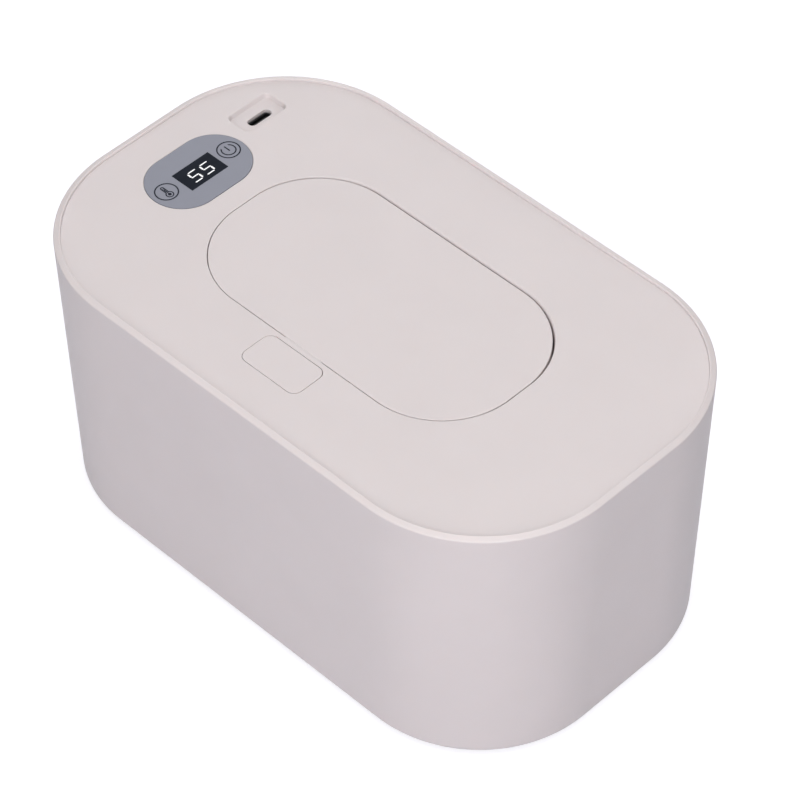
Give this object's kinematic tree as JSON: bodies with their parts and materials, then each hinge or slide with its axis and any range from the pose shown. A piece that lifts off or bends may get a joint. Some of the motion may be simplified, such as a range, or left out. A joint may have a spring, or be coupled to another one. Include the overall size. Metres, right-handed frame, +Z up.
{
  "type": "baby wipe warmer",
  "caption": "Table-top warmer for wet wipes: an open rounded tub under a lift-off heated lid with a push-button flap, a temperature display and a USB-C inlet.",
  "frame": {"origin": "on the table, under the middle of the tub", "axes": "+X to the right end along the length, -X end carries the display, -Y to the front with the push button, +Z up"},
  "size_m": [0.215, 0.1292, 0.1034],
  "materials": {
    "shell": "satin, slightly pink warm white",
    "inner_shell": "fine matt",
    "overlay": "smooth grey film with a dark display window",
    "dark_plastic": "smooth",
    "silicone": "translucent grey, matt",
    "rubber": "matt grey",
    "aluminium": "fine brushed",
    "film": "amber heater film with printed tracks",
    "board": "solder mask",
    "steel": "bright zinc",
    "red_wire": "smooth sleeve",
    "black_wire": "smooth sleeve"
  },
  "bodies": {
    "tub": {"outer_tub": "shell", "foot_1": "rubber", "foot_2": "rubber", "foot_3": "rubber", "foot_4": "rubber"},
    "lid": {"lid_cover": "shell", "lid_housing": "inner_shell", "lid_seal": "silicone", "mouth_gasket": "silicone", "lid_screw_1": "steel", "lid_screw_2": "steel", "lid_screw_3": "steel", "lid_screw_4": "steel", "board_screw_1": "steel", "board_screw_2": "steel", "board_screw_3": "steel", "control_overlay": "overlay", "display_module": "dark_plastic", "control_board": "board", "controller_chip": "dark_plastic", "touch_spring_1": "steel", "touch_spring_2": "steel", "usb_socket": "steel", "usb_contact_tongue": "dark_plastic", "heater_lead_1": "red_wire", "heater_lead_2": "black_wire", "sensor_lead": "black_wire", "heating_plate": "aluminium", "heating_film": "film", "temperature_sensor": "dark_plastic", "thermal_cutout": "dark_plastic", "button_spring_1": "steel", "button_spring_2": "steel", "latch_spring": "steel", "hinge_pin_1": "steel", "hinge_pin_2": "steel", "door_spring_1": "steel", "door_spring_2": "steel"},
    "door": {"door_cover": "shell", "door_liner": "inner_shell", "door_seal": "silicone"},
    "button": {"push_button": "shell"},
    "latch": {"latch_slide": "inner_shell"}
  },
  "joints": [
    {"name": "lid_lift", "type": "slide", "parent": "tub", "child": "lid", "axis": [0, 0, 1], "range_m": [0, 0.06]},
    {"name": "door_hinge", "type": "hinge", "parent": "lid", "child": "door", "pos_m": [-0.0003, 0.03805, 0.0994], "axis": [-1, 0, 0], "range_deg": [0, 100]},
    {"name": "button_press", "type": "slide", "parent": "lid", "child": "button", "axis": [0, 0, -1], "range_m": [0, 0.0015], "stiffness_N_per_m": 400, "springref_m": -0.0025, "deforming": ["button_spring_1", "button_spring_2"]},
    {"name": "latch_draw", "type": "slide", "parent": "lid", "child": "latch", "axis": [0, -1, 0], "range_m": [0, 0.0015], "stiffness_N_per_m": 300, "springref_m": -0.0025, "deforming": ["latch_spring"]}
  ],
  "couplings": [
    {"joint": "latch_draw", "follows": "button_press", "ratio": 1}
  ]
}
